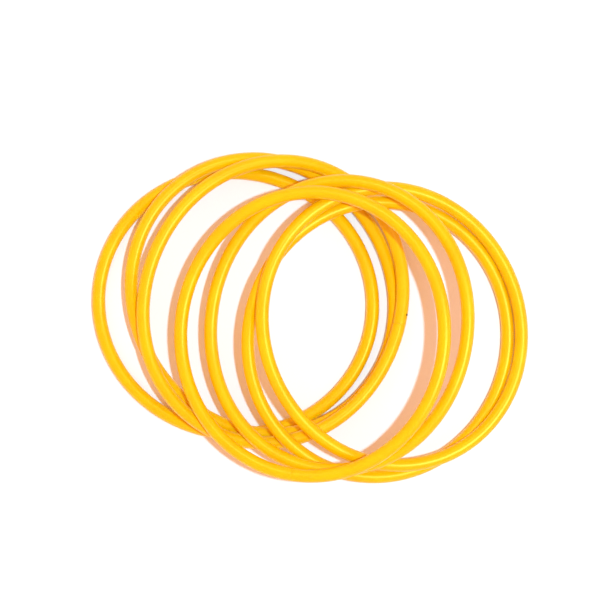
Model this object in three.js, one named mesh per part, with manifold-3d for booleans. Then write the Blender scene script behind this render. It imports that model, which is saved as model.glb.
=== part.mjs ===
// A set of juggling rings lying in a loose pile. Millimetres, +Z up.
// Each ring is a hoop of round plastic tube, closed over a joining plug that one small pin holds.
// The rings rest on the floor and on each other, each one as low as the rings under it let it lie.
// The origin is at the middle of the pile's box, on the floor.
import * as THREE from "three";
import { mergeVertices } from "three/addons/utils/BufferGeometryUtils.js";
import Module from "manifold-3d";

// The ring
const RING_DIAMETER = 320; // outside, if it were a true circle
const TUBE_DIAMETER = 15;
const TUBE_WALL = 1.8;
const SEAM_GAP = 0.3; // between the two cut ends of the tube

// The plug inside the joint
const PLUG_LENGTH = 50; // half of it in each end of the tube
const PLUG_FIT = 0.6; // gap all round, between the plug and the bore

// The pin that holds the plug
const PIN_DIAMETER = 1.6;
const PIN_LENGTH = 6; // under the head
const PIN_HEAD_DIAMETER = 2.6;
const PIN_HEAD_HEIGHT = 0.6;
const PIN_FIT = 0.3; // gap round the shank and beyond its tip
const PIN_FROM_SEAM = 12; // along the tube
const PIN_TURN = 35; // degrees round the tube, from its outer side

// The pile, lowest ring first. Angles are in degrees, anticlockwise from +X.
// x and y are a ring's centre, and oval is how far it is pulled out along its long axis.
// A pin lies above the ring's own plane where up is 1, and below it where up is -1.
const PILE = [
  { x: -73.5, y: -4, oval: 4, longAxis: -12, joint: 262, up: 1 },
  { x: -41.5, y: 4, oval: 6.5, longAxis: 120, joint: 318, up: 1 },
  { x: -30, y: -2, oval: 8.5, longAxis: 68, joint: -10, up: 1 },
  { x: 89, y: -44.5, oval: 3, longAxis: 72, joint: 140, up: -1 },
  { x: 104.5, y: -30, oval: 5.5, longAxis: 120, joint: 93, up: 1 },
  { x: 42.5, y: -28.5, oval: 9, longAxis: 80, joint: 272, up: 1 },
  { x: 12.5, y: -38, oval: 5, longAxis: 85, joint: 262, up: -1 },
];
const REST_GAP = 0.6; // air left between two rings where they rest on each other

// How finely the shapes are cut
const TUBE_SIDES = 10;
const RING_STEPS = 36;
const PLUG_STEPS = 2; // each about as long as a step of the ring, so the plug bends with the bore
const PIN_SIDES = 10;
const HEAD_STEPS = 2;
const SETTLE_SAMPLES = 360;
const SETTLE_PASSES = 8;

const tubeRadius = TUBE_DIAMETER / 2;
const boreRadius = tubeRadius - TUBE_WALL;
const plugRadius = boreRadius - PLUG_FIT;
const meanRadius = RING_DIAMETER / 2 - tubeRadius;
const flatHeight = tubeRadius * Math.cos(Math.PI / TUBE_SIDES); // centre of a tube that lies on a flat side
const up = new THREE.Vector3(0, 0, 1);

const ringPlastic = new THREE.MeshStandardMaterial({ color: "#ffc400", roughness: 0.25, metalness: 0 });
const plugPlastic = new THREE.MeshStandardMaterial({ color: "#ece7d8", roughness: 0.5, metalness: 0 });
const pinSteel = new THREE.MeshStandardMaterial({ color: "#7d6a4c", roughness: 0.4, metalness: 1 });

const wasm = await Module();
wasm.setup();

// A closed three.js geometry as a solid that can be cut.
function toSolid(geometry) {
  const bare = geometry.clone();
  bare.deleteAttribute("normal");
  bare.deleteAttribute("uv");
  const merged = mergeVertices(bare);
  return new wasm.Manifold(
    new wasm.Mesh({
      numProp: 3,
      vertProperties: merged.attributes.position.array,
      triVerts: new Uint32Array(merged.index.array),
    }),
  );
}

// A solid as a three.js geometry again.
function toGeometry(solid) {
  const { vertProperties, triVerts } = solid.getMesh();
  const geometry = new THREE.BufferGeometry();
  geometry.setAttribute("position", new THREE.BufferAttribute(vertProperties, 3));
  geometry.setIndex(new THREE.BufferAttribute(triVerts, 1));
  geometry.computeVertexNormals();
  return geometry;
}

// A point on a ring's centreline, in the ring's own flat frame.
function centrePoint(ring, angle) {
  const stretch = ring.oval * Math.cos(2 * (angle - THREE.MathUtils.degToRad(ring.longAxis)));
  const radius = meanRadius + stretch;
  return new THREE.Vector3(radius * Math.cos(angle), radius * Math.sin(angle), 0);
}

// The centreline between two angles, as a curve to extrude along.
class Centreline extends THREE.Curve {
  constructor(ring, start, end) {
    super();
    this.ring = ring;
    this.start = start;
    this.end = end;
  }

  getPoint(t, target = new THREE.Vector3()) {
    return target.copy(centrePoint(this.ring, THREE.MathUtils.lerp(this.start, this.end, t)));
  }
}

// The corners of a many-sided section that has a flat side facing each way.
function sectionCorners(radius) {
  return Array.from({ length: TUBE_SIDES }, (_, side) => {
    const angle = ((side + 0.5) * 2 * Math.PI) / TUBE_SIDES;
    return new THREE.Vector2(radius * Math.cos(angle), radius * Math.sin(angle));
  });
}

function extrudeAlong(shape, curve, steps) {
  return new THREE.ExtrudeGeometry(shape, { steps, bevelEnabled: false, extrudePath: curve });
}

// The tube: one length bent round, open at the seam.
function tubeGeometry(ring) {
  const shape = new THREE.Shape(sectionCorners(tubeRadius));
  shape.holes.push(new THREE.Path(sectionCorners(boreRadius)));
  const joint = THREE.MathUtils.degToRad(ring.joint);
  const halfGap = SEAM_GAP / 2 / meanRadius;
  const once = new Centreline(ring, joint + halfGap, joint + 2 * Math.PI - halfGap);
  return extrudeAlong(shape, once, RING_STEPS);
}

// The plug: a solid rod with the ring's own bend, across the seam.
function plugGeometry(ring) {
  const shape = new THREE.Shape(sectionCorners(plugRadius));
  const joint = THREE.MathUtils.degToRad(ring.joint);
  const halfLength = PLUG_LENGTH / 2 / meanRadius;
  const across = new Centreline(ring, joint - halfLength, joint + halfLength);
  return extrudeAlong(shape, across, PLUG_STEPS);
}

// The pin, standing on +Y, with the tube's centre at zero.
function pinGeometry() {
  const tip = tubeRadius - PIN_LENGTH;
  const profile = [
    new THREE.Vector2(0, tip),
    new THREE.Vector2(PIN_DIAMETER / 2, tip),
    new THREE.Vector2(PIN_DIAMETER / 2, tubeRadius),
  ];
  for (let step = 0; step < HEAD_STEPS; step++) {
    const angle = (step / HEAD_STEPS) * (Math.PI / 2);
    const radius = (PIN_HEAD_DIAMETER / 2) * Math.cos(angle);
    profile.push(new THREE.Vector2(radius, tubeRadius + PIN_HEAD_HEIGHT * Math.sin(angle)));
  }
  profile.push(new THREE.Vector2(0, tubeRadius + PIN_HEAD_HEIGHT));
  return new THREE.LatheGeometry(profile, PIN_SIDES);
}

// Where a ring's pin goes: its +Y points out of the tube.
function placePin(pin, ring) {
  const angle = THREE.MathUtils.degToRad(ring.joint) + PIN_FROM_SEAM / meanRadius;
  const centreline = new Centreline(ring, angle, angle + 2 * Math.PI);
  const turn = THREE.MathUtils.degToRad(PIN_TURN) * ring.up;
  const outward = centreline.getTangent(0).cross(up).multiplyScalar(Math.cos(turn));
  outward.addScaledVector(up, Math.sin(turn));
  pin.position.copy(centrePoint(ring, angle));
  pin.quaternion.setFromUnitVectors(new THREE.Vector3(0, 1, 0), outward);
  pin.updateMatrix();
}

// The hole that the pin needs, through the tube's wall and into the plug.
function pinHole(pin) {
  const bottom = tubeRadius - PIN_LENGTH - PIN_FIT;
  const top = tubeRadius + PIN_HEAD_HEIGHT;
  const radius = PIN_DIAMETER / 2 + PIN_FIT;
  const cutter = new THREE.CylinderGeometry(radius, radius, top - bottom, PIN_SIDES);
  cutter.translate(0, (top + bottom) / 2, 0);
  return toSolid(cutter.applyMatrix4(pin.matrix));
}

function namedMesh(name, geometry, material) {
  const mesh = new THREE.Mesh(geometry, material);
  mesh.name = name;
  return mesh;
}

// One ring's pieces, in the ring's own flat frame.
function buildRing(ring, name) {
  const pin = namedMesh(name + "_pin", pinGeometry(), pinSteel);
  placePin(pin, ring);
  const hole = pinHole(pin);
  const tube = toGeometry(toSolid(tubeGeometry(ring)).subtract(hole));
  const plug = toGeometry(toSolid(plugGeometry(ring)).subtract(hole));
  const group = new THREE.Group();
  group.add(namedMesh(name + "_tube", tube, ringPlastic));
  group.add(namedMesh(name + "_plug", plug, plugPlastic));
  group.add(pin);
  return group;
}

// Points along a ring's centreline, where the ring now lies.
function sampleRing(ring, group) {
  group.updateMatrix();
  return Array.from({ length: SETTLE_SAMPLES }, (_, sample) =>
    centrePoint(ring, (sample * 2 * Math.PI) / SETTLE_SAMPLES).applyMatrix4(group.matrix),
  );
}

// The height that a point of a centreline needs, to clear the floor and every ring below it.
function heightNeeded(point, floor, below) {
  const spacing = TUBE_DIAMETER + REST_GAP;
  let height = floor;
  for (const other of below) {
    const across = (point.x - other.x) ** 2 + (point.y - other.y) ** 2;
    if (across < spacing ** 2) height = Math.max(height, other.z + Math.sqrt(spacing ** 2 - across));
  }
  return height;
}

// Three of the points, such that the plane through them passes over all the others and is as low
// as it can be at the centre: the three places where a stiff ring rests.
function findSupports(points, centre) {
  const flat = points.map((point) => new THREE.Vector3(point.x, point.y, 0));
  const share = new THREE.Vector3();
  const shares = (support, point) => {
    THREE.Triangle.getBarycoord(point, flat[support[0]], flat[support[1]], flat[support[2]], share);
    return share;
  };
  const heightAt = (support, point) =>
    shares(support, point).dot(new THREE.Vector3(...support.map((index) => points[index].z)));
  const holdsCentre = (support) => Math.min(...shares(support, centre).toArray()) > -1e-9;

  let support = [0, 1, 2].map((third) => Math.round((third * points.length) / 3));
  for (;;) {
    const shortfall = points.map((point, index) => point.z - heightAt(support, flat[index]));
    const worst = shortfall.indexOf(Math.max(...shortfall));
    if (shortfall[worst] < 1e-6) return support.map((index) => points[index]);
    support = [0, 1, 2]
      .map((place) => support.with(place, worst))
      .filter(holdsCentre)
      .reduce((best, other) => (heightAt(other, centre) > heightAt(best, centre) ? other : best));
  }
}

// Lays a ring down on the floor and on the rings that already lie there.
function settle(ring, group, below) {
  const centre = new THREE.Vector3(ring.x, ring.y, 0);
  const floor = below.length ? tubeRadius : flatHeight;
  group.position.copy(centre).setZ(floor);
  for (let pass = 0; pass < SETTLE_PASSES; pass++) {
    const points = sampleRing(ring, group);
    points.forEach((point) => point.setZ(heightNeeded(point, floor, below)));
    const resting = new THREE.Plane().setFromCoplanarPoints(...findSupports(points, centre));
    if (resting.normal.z < 0) resting.negate();
    group.quaternion.setFromUnitVectors(up, resting.normal);
    group.position.z = -(resting.normal.dot(centre) + resting.constant) / resting.normal.z;
  }
}

const pile = new THREE.Group();
const lying = []; // centreline points of the rings already in the pile
PILE.forEach((ring, index) => {
  const group = buildRing(ring, "ring_" + (index + 1));
  settle(ring, group, lying);
  lying.push(...sampleRing(ring, group));
  pile.add(group);
});

// The middle of the pile's box goes over the origin, and its lowest point on the floor.
const box = new THREE.Box3().setFromObject(pile, true);
const middle = box.getCenter(new THREE.Vector3());
pile.position.set(-middle.x, -middle.y, -box.min.z);

const rings = new THREE.Group();
rings.add(pile);

export default rings;
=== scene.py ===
# %% [markdown]
# # A loose pile of juggling rings
# Each ring is a length of round plastic tube, bent into a hoop. Its two cut ends meet over a
# joining plug, and one small steel pin holds the plug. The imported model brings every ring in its
# place in the pile, cut with few sides. This script reads where each ring lies, builds it again
# with smooth round surfaces, and then gives each piece the plastic or steel it is made of.

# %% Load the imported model
import math

import bmesh
import bpy
import numpy as np
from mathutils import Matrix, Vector


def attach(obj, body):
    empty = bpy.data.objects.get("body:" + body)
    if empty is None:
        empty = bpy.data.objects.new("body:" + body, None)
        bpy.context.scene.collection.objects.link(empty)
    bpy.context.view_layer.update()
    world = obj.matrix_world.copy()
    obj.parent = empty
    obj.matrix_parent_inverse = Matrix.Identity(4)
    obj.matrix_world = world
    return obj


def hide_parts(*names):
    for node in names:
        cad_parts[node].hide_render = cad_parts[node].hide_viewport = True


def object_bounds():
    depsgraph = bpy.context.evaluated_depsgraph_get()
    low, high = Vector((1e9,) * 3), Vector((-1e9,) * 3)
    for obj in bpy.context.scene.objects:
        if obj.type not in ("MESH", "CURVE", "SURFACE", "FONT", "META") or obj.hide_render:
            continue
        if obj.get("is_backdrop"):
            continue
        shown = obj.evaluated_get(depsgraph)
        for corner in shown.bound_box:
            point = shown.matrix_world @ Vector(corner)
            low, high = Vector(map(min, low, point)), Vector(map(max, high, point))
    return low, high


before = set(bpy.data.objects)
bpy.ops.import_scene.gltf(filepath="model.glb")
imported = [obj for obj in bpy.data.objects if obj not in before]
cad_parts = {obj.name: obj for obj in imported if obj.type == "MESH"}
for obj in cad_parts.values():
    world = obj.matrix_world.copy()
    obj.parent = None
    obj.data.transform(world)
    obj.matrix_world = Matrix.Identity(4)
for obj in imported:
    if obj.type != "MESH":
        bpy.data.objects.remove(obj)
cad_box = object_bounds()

MM = 0.001
RINGS = sorted(name[: -len("_tube")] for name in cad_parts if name.endswith("_tube"))
print("rings:", RINGS)

# %% [markdown]
# ## The camera
# The pile is seen from straight above, from far enough away that the rings on top look hardly
# larger than the ones below. The camera stands a little off the middle of the pile, because the
# pile doesn't fill the picture evenly. The lens could be given as a focal length. It is worked out
# from the width of floor that it takes in instead, because that width can be measured.

# %% Place the camera
CAMERA_HEIGHT = 2.6
CAMERA_SHIFT = (-0.0108, 0.0197)  # from the middle of the pile's box
VIEW_WIDTH = 0.6858  # of the floor, across the picture

camera_data = bpy.data.cameras.new("camera")
camera_data.angle = 2 * math.atan(VIEW_WIDTH / 2 / CAMERA_HEIGHT)
camera = bpy.data.objects.new("camera", camera_data)
camera.location = (*CAMERA_SHIFT, CAMERA_HEIGHT)
bpy.context.collection.objects.link(camera)
bpy.context.scene.camera = camera
print("lens:", round(camera_data.lens, 1), "mm")

# %% [markdown]
# ## Where each ring lies
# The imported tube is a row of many-sided sections. The middle of a section is a point of the
# tube's centreline, so the sections give the centreline, and the flat plane it lies in. A hoop
# that has been bent by hand is a little oval, so its radius is a mean with one wave of two crests
# round the ring. Fitting that wave gives a smooth curve again, with no corners. Blender could also
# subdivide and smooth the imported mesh, but that would round off the cut ends and thin the tube.

# %% Points, axes and angles
def mesh_points(node):
    """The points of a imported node, each one once."""
    corners = [vertex.co[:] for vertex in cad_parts[node].data.vertices]
    return np.unique(np.round(corners, 7), axis=0)


def flat_axes(points):
    """The middle of some points that lie nearly flat, and three axes: two along them and one up."""
    middle = points.mean(axis=0)
    axes = np.linalg.svd(points - middle, full_matrices=False)[2]
    up = axes[2] * np.sign(axes[2][2])
    along = np.cross([0, 1, 0], up)
    along /= np.linalg.norm(along)
    return middle, along, np.cross(up, along), up


def angles_round(points, middle, along, across):
    """The angle of each point round a middle, from the first axis towards the second."""
    return np.arctan2((points - middle) @ across, (points - middle) @ along)


print("points of a packed tube:", len(mesh_points("ring_1_tube")))

# %% Read the sections of a tube
SECTION_BREAK = math.radians(3)  # sections are ten degrees apart, so a gap over this parts two
PIN_REACH = 2 * MM  # points of a tube this near to its pin's axis belong to the pin's hole


def pin_axis(ring):
    """The middle of a ring's pin, and the direction from its point to its head."""
    points = mesh_points(ring + "_pin")
    middle = points.mean(axis=0)
    direction = np.linalg.svd(points - middle, full_matrices=False)[2][0]
    from_axis = np.linalg.norm(np.cross(points - middle, direction), axis=1)
    head = points[from_axis.argmax()]
    return middle, direction * np.sign((head - middle) @ direction)


def section_groups(ring):
    """The tube's points, in one group for each section, going round the ring."""
    points = mesh_points(ring + "_tube")
    pin_middle, pin_direction = pin_axis(ring)
    from_axis = np.linalg.norm(np.cross(points - pin_middle, pin_direction), axis=1)
    points = points[from_axis > PIN_REACH]
    middle, along, across, _ = flat_axes(points)
    angles = angles_round(points, middle, along, across)
    order = np.argsort(angles)
    breaks = np.flatnonzero(np.diff(angles[order]) > SECTION_BREAK) + 1
    groups = np.split(points[order], breaks)
    if 2 * math.pi - np.ptp(angles) < SECTION_BREAK:
        groups[0] = np.vstack([groups.pop(), groups[0]])
    return groups


print("sections of a packed tube:", len(section_groups("ring_1")))

# %% Fit the centrelines
TANGENT_STEP = 1e-4  # radians to either side of a point, to find which way the centreline runs


class Centreline:
    """A ring's centreline: where it lies, its oval shape, and the angle of its seam."""

    def __init__(self, ring):
        groups = section_groups(ring)
        centres = np.array([group.mean(axis=0) for group in groups])
        self.middle, self.along, self.across, self.up = flat_axes(centres)
        angles = angles_round(centres, self.middle, self.along, self.across)
        radii = np.linalg.norm(centres - self.middle, axis=1)
        waves = np.column_stack([np.ones_like(angles), np.cos(2 * angles), np.sin(2 * angles)])
        self.shape = np.linalg.lstsq(waves, radii, rcond=None)[0]
        self.misfit = np.abs(waves @ self.shape - radii).max()
        seam = max(range(len(groups)), key=lambda index: len(groups[index]))
        self.seam = angles[seam]
        section = (seam + 1) % len(groups)
        corners = np.linalg.norm(groups[section] - centres[section], axis=1)
        self.tube_radius = corners.max()
        self.bore_radius = corners.min()
        self.length = 2 * math.pi * self.shape[0]

    def point(self, angle):
        """The centreline's point at an angle round the ring."""
        radius = self.shape @ [1, math.cos(2 * angle), math.sin(2 * angle)]
        return self.middle + radius * (math.cos(angle) * self.along + math.sin(angle) * self.across)

    def section(self, run):
        """At a run along the ring from its seam: the centreline's point, and two axes across it."""
        angle = self.seam + run / self.shape[0]
        tangent = self.point(angle + TANGENT_STEP) - self.point(angle - TANGENT_STEP)
        outward = np.cross(tangent / np.linalg.norm(tangent), self.up)
        return self.point(angle), outward, self.up


centrelines = {ring: Centreline(ring) for ring in RINGS}
for ring, line in centrelines.items():
    tilt = math.degrees(math.acos(line.up[2]))
    print(f"{ring}: mean radius {line.shape[0] / MM:.1f} mm, tube {line.tube_radius / MM:.2f} mm over"
          f" {line.bore_radius / MM:.2f} mm, tilt {tilt:.1f} degrees, misfit {line.misfit / MM:.2f} mm")

# %% [markdown]
# ## Building the round pieces
# Tube, plug and pin are all round, so one function builds them. It takes a profile, which is a
# list of points that each have a run along the piece and a radius, and turns every point into a
# loop of vertices. The loops of a tube or a plug follow the bent centreline, and the loops of a
# pin follow its straight axis. A tube's profile goes out along the outside and comes back along
# the bore, so it closes on itself. A curve with a round bevel would bend as well, but it has no bore
# and no broken edges.
#
# Each vertex also remembers where it would be if the piece were straight. Marks that the making
# left along the plastic are drawn in those straight coordinates, so they follow the bend.

# %% A function that builds a round piece
STRAIGHT = "straight"  # the attribute that holds the straight coordinates
SHARP_ANGLE = math.radians(40)


def round_piece(name, profile, sides, section, closed=False):
    """A new piece, made by turning a profile round the axis that section gives for each run."""
    shape = bmesh.new()
    straight = shape.verts.layers.float_vector.new(STRAIGHT)
    loops = []
    for run, radius in profile:
        centre, first, second = section(run)
        loop = []
        for side in range(sides):
            turn = 2 * math.pi * side / sides
            x, y = radius * math.cos(turn), radius * math.sin(turn)
            vertex = shape.verts.new(centre + x * first + y * second)
            vertex[straight] = (run, x, y)
            loop.append(vertex)
        loops.append(loop)
    followers = loops[1:] + loops[:1] if closed else loops[1:]
    for near, far in zip(loops, followers):
        for side in range(sides):
            after = (side + 1) % sides
            shape.faces.new((near[side], near[after], far[after], far[side]))
    if not closed:
        shape.faces.new(loops[0])
        shape.faces.new(loops[-1])
    bmesh.ops.recalc_face_normals(shape, faces=shape.faces)
    mesh = bpy.data.meshes.new(name)
    shape.to_mesh(mesh)
    shape.free()
    mesh.shade_smooth()
    mesh.set_sharp_from_angle(angle=SHARP_ANGLE)
    piece = bpy.data.objects.new(name, mesh)
    bpy.context.collection.objects.link(piece)
    return piece


print("a round piece remembers its straight coordinates as", STRAIGHT)

# %% Two helpers for profiles


def between(start, end, steps):
    """Evenly spaced values from start to end, both included."""
    return [start + (end - start) * step / steps for step in range(steps + 1)]


def rounded_edge(run, radius, edge, steps, way):
    """Profile points round a corner, from the flat end at a run out to the radius beyond it."""
    return [
        (run + way * edge * (1 - math.cos(angle)), radius - edge * (1 - math.sin(angle)))
        for angle in between(0, math.pi / 2, steps)
    ]


print("edge of 1 mm on a rod of 5 mm:", np.round(rounded_edge(0, 5, 1, 2, 1), 2).tolist())

# %% [markdown]
# ## The tubes
# The tube is cut square, and its outer edges are broken with a knife or a file so that they don't
# scratch the hands. That small radius is what makes a closed joint visible at all: it catches the
# light as a fine line across the tube. The hoop could be one unbroken torus, but a real one has to
# be closed somewhere. The seam is a real gap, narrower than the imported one, as in a joint that is
# pressed shut.

# %% Build the tubes
SEAM_GAP = 0.1 * MM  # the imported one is 0.3 mm
TUBE_EDGE = 0.12 * MM
TUBE_EDGE_STEPS = 4
RING_STEPS = 300
BORE_STEPS = 72
TUBE_SIDES = 40


def tube_profile(line):
    """Out along the outside of the tube, and back along its bore."""
    start, end = SEAM_GAP / 2, line.length - SEAM_GAP / 2
    radius = line.tube_radius
    outside = [(run, radius) for run in between(start + TUBE_EDGE, end - TUBE_EDGE, RING_STEPS)]
    first_edge = rounded_edge(start, radius, TUBE_EDGE, TUBE_EDGE_STEPS, 1)
    last_edge = rounded_edge(end, radius, TUBE_EDGE, TUBE_EDGE_STEPS, -1)
    bore = [(run, line.bore_radius) for run in between(end, start, BORE_STEPS)]
    return first_edge[:-1] + outside + last_edge[-2::-1] + bore


tubes = {}
for ring, line in centrelines.items():
    tube = round_piece(ring + "_hoop", tube_profile(line), TUBE_SIDES, line.section, closed=True)
    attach(tube, ring)
    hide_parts(ring + "_tube")
    tubes[ring] = tube
print("tubes:", len(tubes), "with", len(tubes["ring_1"].data.polygons), "faces each")

# %% [markdown]
# ## The plugs
# The plug is a short rod of harder plastic, pushed half its length into each end of the tube. It
# bends with the bore. Its ends are rounded so that they go in easily. All that shows of it is what
# the seam leaves open. A straight rod would be simpler to make, but it would cut into the bent bore.

# %% Build the plugs
PLUG_LENGTH = 50 * MM
PLUG_FIT = 0.6 * MM  # air all round, between the plug and the bore
PLUG_EDGE = 1.2 * MM
PLUG_EDGE_STEPS = 4
PLUG_STEPS = 24
PLUG_SIDES = 32


def plug_profile(radius):
    """A straight body between two rounded edges."""
    half = PLUG_LENGTH / 2
    body = [(run, radius) for run in between(PLUG_EDGE - half, half - PLUG_EDGE, PLUG_STEPS)]
    first_edge = rounded_edge(-half, radius, PLUG_EDGE, PLUG_EDGE_STEPS, 1)
    last_edge = rounded_edge(half, radius, PLUG_EDGE, PLUG_EDGE_STEPS, -1)
    return first_edge[:-1] + body + last_edge[-2::-1]


plugs = {}
for ring, line in centrelines.items():
    profile = plug_profile(line.bore_radius - PLUG_FIT)
    plug = round_piece(ring + "_joining_plug", profile, PLUG_SIDES, line.section)
    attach(plug, ring)
    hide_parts(ring + "_plug")
    plugs[ring] = plug
print("plugs:", len(plugs), "of", len(plugs["ring_1"].data.polygons), "faces")

# %% [markdown]
# ## The pins
# A small steel pin goes through the tube's wall into the plug, so that the joint can't pull apart.
# Its shank ends in a short point, and its low domed head lies on the tube. The head is so small
# that a painted dot could stand for it, but a real dome catches the light from every side.

# %% The outline of a pin
PIN_POINT = 0.8 * MM
PIN_TIP = 0.3  # width of the point's end, as a part of the shank's
HEAD_STEPS = 8
HEAD_RIM = 0.15 * MM  # height of the head's upright rim, under the dome
DOME_TURN = 0.97 * math.pi / 2  # the dome ends just short of its middle, in a small flat
PIN_SIDES = 24


def pin_profile(points, middle, direction):
    """The pin's outline, from its point to the top of its head, as runs along its axis and radii."""
    runs = (points - middle) @ direction
    radii = np.linalg.norm(np.cross(points - middle, direction), axis=1)
    tip, top = runs.min(), runs.max()
    seat = runs[radii.argmax()]
    head = radii.max()
    shank = radii[runs < tip + PIN_POINT].max()
    dome = [
        (seat + HEAD_RIM + (top - seat - HEAD_RIM) * math.sin(angle), head * math.cos(angle))
        for angle in between(0, DOME_TURN, HEAD_STEPS)
    ]
    return [(tip, shank * PIN_TIP), (tip + PIN_POINT, shank), (seat, shank), (seat, head)] + dome


print("a pin's point is", PIN_POINT / MM, "mm long, and its head's rim", HEAD_RIM / MM, "mm high")

# %% Build the pins


def pin_section(middle, direction):
    """The same two axes all along the pin, as it is straight."""
    first = np.cross(direction, [0, 0, 1])
    first /= np.linalg.norm(first)
    second = np.cross(direction, first)
    return lambda run: (middle + run * direction, first, second)


pins = {}
for ring in RINGS:
    points = mesh_points(ring + "_pin")
    middle, direction = pin_axis(ring)
    profile = pin_profile(points, middle, direction)
    pin = round_piece(ring + "_joint_pin", profile, PIN_SIDES, pin_section(middle, direction))
    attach(pin, ring)
    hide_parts(ring + "_pin")
    pins[ring] = pin
print("pins:", len(pins), "of", len(pins["ring_1"].data.polygons), "faces")

# %% [markdown]
# ## Colours and nodes
# Colours are written as the hex values that a designer would give, and one function turns them
# into the linear values that the shaders work with. A second function adds a node, with its
# settings and its links in one call, so that a material can be read from top to bottom. The same
# nodes could be laid out by hand in Blender's shader editor.

# %% Two helpers for materials


def linear(code, alpha=1.0):
    """A hex colour such as #ffc400, in linear values."""
    channels = [int(code[place:place + 2], 16) / 255 for place in (1, 3, 5)]
    return (*[c / 12.92 if c <= 0.04045 else ((c + 0.055) / 1.055) ** 2.4 for c in channels], alpha)


def add(tree, kind, inputs=(), **settings):
    """Adds a node. inputs gives each socket a value, or another node's output to link it to."""
    node = tree.nodes.new("ShaderNode" + kind)
    for name, value in settings.items():
        setattr(node, name, value)
    for socket, value in dict(inputs).items():
        if isinstance(value, bpy.types.NodeSocket):
            tree.links.new(value, node.inputs[socket])
        else:
            node.inputs[socket].default_value = value
    return node


def new_material(name):
    """A material without nodes, and its node tree."""
    material = bpy.data.materials.new(name)
    material.use_nodes = True
    material.node_tree.nodes.clear()
    return material, material.node_tree


print("gold as linear values:", [round(value, 3) for value in linear("#ffd700")])

# %% [markdown]
# ## The ring plastic
# The tube is polyethylene, pressed hot through a round die and coloured right through in a strong
# warm yellow. Three things show how it was made and used. The die leaves faint lines along the
# tube. The pigment isn't stirred in quite evenly, so the yellow drifts a little. And rings that are
# thrown and dropped pick up short scuffs, which are duller and paler than the skin round them.
#
# All three are noise patterns, drawn in the straight coordinates, so that they follow the tube
# round its bend. Stretching the noise along the run makes lines of it. The scuffs are the few
# places where such a noise is highest. An image of a real tube could be wrapped round it instead,
# but noise has no edges and no repeats, and its scale can be set in millimetres.

# %% The sizes of the marks on the tube
DIE_LINE = 1.6 * MM  # real lines are about 0.3 mm apart, and would be too fine to see
DIE_LINE_RUN = 80 * MM
DIE_LINE_DEPTH = 0.012 * MM
PIGMENT_CLOUD = 30 * MM
SCUFF = 0.9 * MM  # real scuffs are about 0.2 mm wide, so these are drawn four times as wide
SCUFF_RUN = 8 * MM
SCUFF_DEPTH = 0.02 * MM
NOISE_LOW, NOISE_HIGH = 0.3, 0.7  # nearly all values of a noise lie between these
SCUFF_STARTS, SCUFF_FULL = 0.66, 0.76  # so a scuff is where the noise is unusually high
print(f"{2 * math.pi * centrelines['ring_1'].tube_radius / DIE_LINE:.0f} die lines round a tube")

# %% The marks on the tube
material, tree = new_material("extruded_polyethylene_yellow")
straight = add(tree, "Attribute", attribute_name=STRAIGHT).outputs["Vector"]
line_scale = (1 / DIE_LINE_RUN, 1 / DIE_LINE, 1 / DIE_LINE)
scuff_scale = (1 / SCUFF_RUN, 1 / SCUFF, 1 / SCUFF)
line_place = add(tree, "VectorMath", {0: straight, 1: line_scale}, operation="MULTIPLY")
scuff_place = add(tree, "VectorMath", {0: straight, 1: scuff_scale}, operation="MULTIPLY")
die_lines = add(tree, "TexNoise", {"Vector": line_place.outputs["Vector"], "Scale": 1.0, "Detail": 3.0})
pigment = add(tree, "TexNoise", {"Vector": straight, "Scale": 1 / PIGMENT_CLOUD, "Detail": 2.0})
rubbing = add(tree, "TexNoise", {
    "Vector": scuff_place.outputs["Vector"], "Scale": 1.0, "Detail": 1.0, "Distortion": 0.6,
})
scuffs = add(tree, "MapRange", {
    "Value": rubbing.outputs["Fac"], "From Min": SCUFF_STARTS, "From Max": SCUFF_FULL,
})
print("marks:", len(tree.nodes), "nodes")

# %% The colour of the tube
MIX_COLOURS, MIX_RESULT = (6, 7), 2  # sockets of the Mix node when it mixes colours
SCUFF_PALES = 0.3  # of the way to the scuffed colour

clouds = add(tree, "MapRange", {
    "Value": pigment.outputs["Fac"], "From Min": NOISE_LOW, "From Max": NOISE_HIGH,
})
yellow = add(tree, "Mix", {
    0: clouds.outputs["Result"],
    MIX_COLOURS[0]: linear("#f0b700"),
    MIX_COLOURS[1]: linear("#f6bf00"),
}, data_type="RGBA")
scuffed = add(tree, "Math", {0: scuffs.outputs["Result"], 1: SCUFF_PALES}, operation="MULTIPLY")
worn_yellow = add(tree, "Mix", {
    0: scuffed.outputs[0],
    MIX_COLOURS[0]: yellow.outputs[MIX_RESULT],
    MIX_COLOURS[1]: linear("#f2cf4a"),
}, data_type="RGBA")
print("colour: mixed in", [node.name for node in tree.nodes if node.type == "MIX"])

# %% The skin of the tube
SKIN_ROUGHNESS = (0.3, 0.38)  # from the bottom of a die line to its top
SCUFF_DULLS = 0.14  # added to the roughness

skin = add(tree, "MapRange", {
    "Value": die_lines.outputs["Fac"],
    "From Min": NOISE_LOW,
    "From Max": NOISE_HIGH,
    "To Min": SKIN_ROUGHNESS[0],
    "To Max": SKIN_ROUGHNESS[1],
})
dulled = add(tree, "Math", {
    0: scuffs.outputs["Result"], 1: SCUFF_DULLS, 2: skin.outputs["Result"],
}, operation="MULTIPLY_ADD")
lined = add(tree, "Bump", {"Height": die_lines.outputs["Fac"], "Distance": DIE_LINE_DEPTH})
scraped = add(tree, "Bump", {
    "Height": scuffs.outputs["Result"], "Distance": SCUFF_DEPTH, "Normal": lined.outputs["Normal"],
}, invert=True)
print("roughness:", SKIN_ROUGHNESS, "and up to", SCUFF_DULLS, "more in a scuff")

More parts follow.
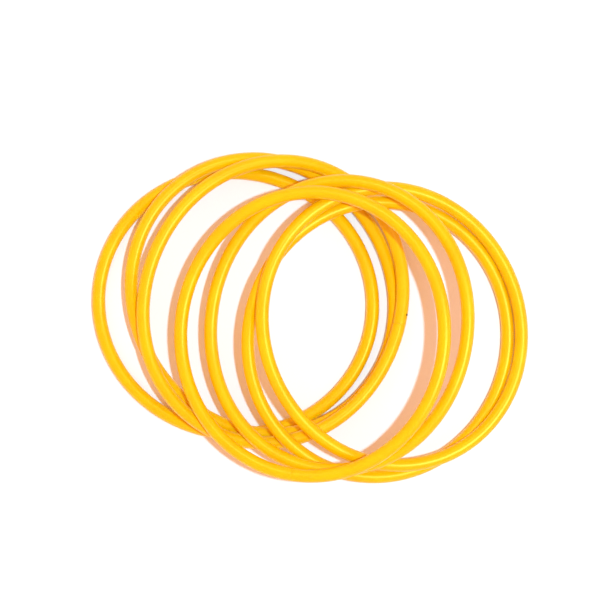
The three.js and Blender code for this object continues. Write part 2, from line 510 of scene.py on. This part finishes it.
# %% Extruded polyethylene
# Polyethylene bends light by 1.51 and has a soft wax-like gloss, with a roughness of about a third.
# Light goes a few millimetres into it, red light furthest, so its shaded sides glow orange and its
# gloss is tinted.
shader = add(tree, "BsdfPrincipled", {
    "Base Color": worn_yellow.outputs[MIX_RESULT],
    "Roughness": dulled.outputs[0],
    "Normal": scraped.outputs["Normal"],
    "IOR": 1.51,
    "Specular IOR Level": 0.8,
    "Specular Tint": linear("#ffff90"),
    "Subsurface Weight": 0.35,
    "Subsurface Radius": (1.0, 0.5, 0.1),
    "Subsurface Scale": 4 * MM,
})
add(tree, "OutputMaterial", {"Surface": shader.outputs["BSDF"]})
for tube in tubes.values():
    tube.data.materials.append(material)
print("ring plastic:", len(tree.nodes), "nodes, on", len(tubes), "tubes")

# %% [markdown]
# ## The plug's plastic
# The plug is turned from a rod of polyethylene without pigment, which is milky white. The cutting
# tool leaves one fine groove that winds round it, so its pattern changes along the run and hardly
# round the rod. The groove could be cut into the mesh, but so little of the plug shows that a bump
# is enough.

# %% Turned polyethylene
TOOL_MARK = 0.6 * MM  # the tool moves on by about 0.2 mm a turn, which would be too fine to see
TOOL_MARK_DEPTH = 0.02 * MM
TOOL_MARK_ROUND = 20 * MM
CUT_ROUGHNESS = (0.4, 0.6)

# Without pigment the light goes deep into the plastic, so its edges look soft.
material, tree = new_material("turned_natural_polyethylene")
straight = add(tree, "Attribute", attribute_name=STRAIGHT).outputs["Vector"]
mark_scale = (1 / TOOL_MARK, 1 / TOOL_MARK_ROUND, 1 / TOOL_MARK_ROUND)
mark_place = add(tree, "VectorMath", {0: straight, 1: mark_scale}, operation="MULTIPLY")
marks = add(tree, "TexNoise", {"Vector": mark_place.outputs["Vector"], "Scale": 1.0, "Detail": 2.0})
milky = add(tree, "Mix", {
    0: marks.outputs["Fac"],
    MIX_COLOURS[0]: linear("#e6e0cf"),
    MIX_COLOURS[1]: linear("#f0ecdf"),
}, data_type="RGBA")
cut = add(tree, "MapRange", {
    "Value": marks.outputs["Fac"], "To Min": CUT_ROUGHNESS[0], "To Max": CUT_ROUGHNESS[1],
})
grooved = add(tree, "Bump", {"Height": marks.outputs["Fac"], "Distance": TOOL_MARK_DEPTH})
shader = add(tree, "BsdfPrincipled", {
    "Base Color": milky.outputs[MIX_RESULT],
    "Roughness": cut.outputs["Result"],
    "Normal": grooved.outputs["Normal"],
    "IOR": 1.51,
    "Subsurface Weight": 0.4,
    "Subsurface Scale": 4 * MM,
})
add(tree, "OutputMaterial", {"Surface": shader.outputs["BSDF"]})
for plug in plugs.values():
    plug.data.materials.append(material)
print("plug plastic:", len(tree.nodes), "nodes")

# %% [markdown]
# ## The pin's steel
# The pin is cut from drawn wire and its head is pressed up from the end. Drawing leaves lines along
# the wire. Bare steel that is handled turns brown in patches, so its head looks like a small dark
# dot on the yellow. One even brown would look like paint, so two browns are mixed by a noise.

# %% Drawn steel, dulled by handling
DRAW_LINE = 0.25 * MM  # real lines are under 0.05 mm apart
DRAW_LINE_RUN = 5 * MM
DRAW_LINE_DEPTH = 0.008 * MM
TARNISH_PATCH = 0.9 * MM
TARNISH_STARTS, TARNISH_FULL = 0.35, 0.65  # values of the noise
STEEL_ROUGHNESS = (0.35, 0.6)  # bare, and where it is tarnished

# A metal has no colour of its own below its shine, so the brown is in what it reflects.
material, tree = new_material("drawn_steel_dulled")
straight = add(tree, "Attribute", attribute_name=STRAIGHT).outputs["Vector"]
wire_scale = (1 / DRAW_LINE_RUN, 1 / DRAW_LINE, 1 / DRAW_LINE)
wire_place = add(tree, "VectorMath", {0: straight, 1: wire_scale}, operation="MULTIPLY")
wire_lines = add(tree, "TexNoise", {"Vector": wire_place.outputs["Vector"], "Scale": 1.0, "Detail": 1.0})
patches = add(tree, "TexNoise", {"Vector": straight, "Scale": 1 / TARNISH_PATCH, "Detail": 3.0})
tarnish = add(tree, "MapRange", {
    "Value": patches.outputs["Fac"], "From Min": TARNISH_STARTS, "From Max": TARNISH_FULL,
})
steel = add(tree, "Mix", {
    0: tarnish.outputs["Result"],
    MIX_COLOURS[0]: linear("#5d5142"),
    MIX_COLOURS[1]: linear("#3a2c1b"),
}, data_type="RGBA")
matt = add(tree, "MapRange", {
    "Value": tarnish.outputs["Result"], "To Min": STEEL_ROUGHNESS[0], "To Max": STEEL_ROUGHNESS[1],
})
drawn = add(tree, "Bump", {"Height": wire_lines.outputs["Fac"], "Distance": DRAW_LINE_DEPTH})
shader = add(tree, "BsdfPrincipled", {
    "Base Color": steel.outputs[MIX_RESULT],
    "Roughness": matt.outputs["Result"],
    "Normal": drawn.outputs["Normal"],
    "Metallic": 1.0,
})
add(tree, "OutputMaterial", {"Surface": shader.outputs["BSDF"]})
for pin in pins.values():
    pin.data.materials.append(material)
print("pin steel:", len(tree.nodes), "nodes")

# %% [markdown]
# ## The floor
# The pile lies on a sheet of plain white studio paper. The floor is put at the height of the lowest
# point of the rings, so that they touch it. It is a wide round sheet, lit so brightly that it fades
# into the white behind it. A studio often uses a sheet that curves up behind instead, but a flat one
# can be looked at from all sides. Paper is matt and has a faint grain of pressed fibres.

# %% The floor
FLOOR_RADIUS = 1.4
FLOOR_SIDES = 96

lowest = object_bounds()[0]
sheet = bmesh.new()
bmesh.ops.create_circle(sheet, cap_ends=True, segments=FLOOR_SIDES, radius=FLOOR_RADIUS)
mesh = bpy.data.meshes.new("floor")
sheet.to_mesh(mesh)
sheet.free()
floor = bpy.data.objects.new("floor", mesh)
floor.location.z = lowest[2]
bpy.context.collection.objects.link(floor)
floor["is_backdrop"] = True
print("floor at", round(floor.location.z / MM, 2), "mm")

# %% Matt white paper
# Paper has next to no gloss, so its highlights are left out almost wholly.
PAPER_GRAIN = 3 * MM  # fibres are under 0.1 mm thick, and are drawn as the clumps that they form
PAPER_GRAIN_DEPTH = 0.02 * MM

material, tree = new_material("matt_white_paper")
place = add(tree, "TexCoord").outputs["Object"]
fibres = add(tree, "TexNoise", {"Vector": place, "Scale": 1 / PAPER_GRAIN, "Detail": 4.0})
paper = add(tree, "Mix", {
    0: fibres.outputs["Fac"],
    MIX_COLOURS[0]: linear("#f2f0ec"),
    MIX_COLOURS[1]: linear("#f6f4f0"),
}, data_type="RGBA")
grain = add(tree, "Bump", {"Height": fibres.outputs["Fac"], "Distance": PAPER_GRAIN_DEPTH})
shader = add(tree, "BsdfPrincipled", {
    "Base Color": paper.outputs[MIX_RESULT],
    "Normal": grain.outputs["Normal"],
    "Roughness": 0.9,
    "Specular IOR Level": 0.1,
})
add(tree, "OutputMaterial", {"Surface": shader.outputs["BSDF"]})
mesh.materials.append(material)
print("paper:", len(tree.nodes), "nodes")

# %% [markdown]
# ## The lights
# One bright lamp high up on the right lights the pile and throws a soft-edged shadow to the left of
# each ring. The higher a ring lies, the further its shadow moves from it. Two softboxes draw the
# pale streaks of gloss: one at the side does the left and right runs of the tubes, and a weaker one
# beyond the pile does the far and near runs. They give no other light, because it would fill the
# shadows. One large softbox could do all of this, but its shadows would be too faint to part the
# rings.

# %% The lights


def area_light(name, place, size, power, colour):
    """A round light at a place, turned towards the middle of the floor."""
    data = bpy.data.lights.new(name, "AREA")
    data.shape = "DISK"
    data.size = size
    data.energy = power
    data.color = linear(colour)[:3]
    light = bpy.data.objects.new(name, data)
    light.location = place
    light.rotation_euler = Vector(place).to_track_quat("Z", "Y").to_euler()
    bpy.context.collection.objects.link(light)
    return light


strobe = area_light("strobe", place=(0.46, 0.03, 3.3), size=0.12, power=108, colour="#9dd8f6")
strobe.visible_glossy = False
side_softbox = area_light(
    "side_softbox", place=(1.43, -0.38, 2.18), size=1.1, power=40, colour="#ffffe8",
)
side_softbox.visible_diffuse = False
top_softbox = area_light("top_softbox", place=(-0.1, 0.9, 2.4), size=0.6, power=8, colour="#ffffe8")
top_softbox.visible_diffuse = False
print("lights:", strobe.name, side_softbox.name, top_softbox.name)

# %% [markdown]
# ## The light of the room
# The rest of the light comes from all round. It is warm, because it has bounced between the yellow
# rings, the paper and the room, and it is what fills the shadows. More lamps could fill them too,
# but each would throw a shadow of its own. The camera sees plain white behind the floor instead. The
# colours are shown as they are, because a film curve would turn strong yellows pale.

# %% The light of the room
world = bpy.data.worlds.new("studio")
world.use_nodes = True
bpy.context.scene.world = world
tree = world.node_tree
tree.nodes.clear()
bounce = add(tree, "Background", {"Color": linear("#ffc7aa"), "Strength": 1.12})
backdrop = add(tree, "Background", {"Color": linear("#fffcf4")})
path = add(tree, "LightPath")
seen = add(tree, "MixShader", {
    0: path.outputs["Is Camera Ray"], 1: bounce.outputs["Background"], 2: backdrop.outputs["Background"],
})
add(tree, "OutputWorld", {"Surface": seen.outputs[0]})
bpy.context.scene.view_settings.view_transform = "Standard"
print("room light:", len(tree.nodes), "nodes, shown as", bpy.context.scene.view_settings.view_transform)

# %% [markdown]
# ## Finish
# Both boxes are written down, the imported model's and the new one's, to show that the new surfaces
# keep the object's size.

# %% Write both boxes, and finish
for title, (low, high) in (("packed", cad_box), ("visual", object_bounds())):
    print(title, "size in mm:", [round((end - start) / MM, 1) for start, end in zip(low, high)])
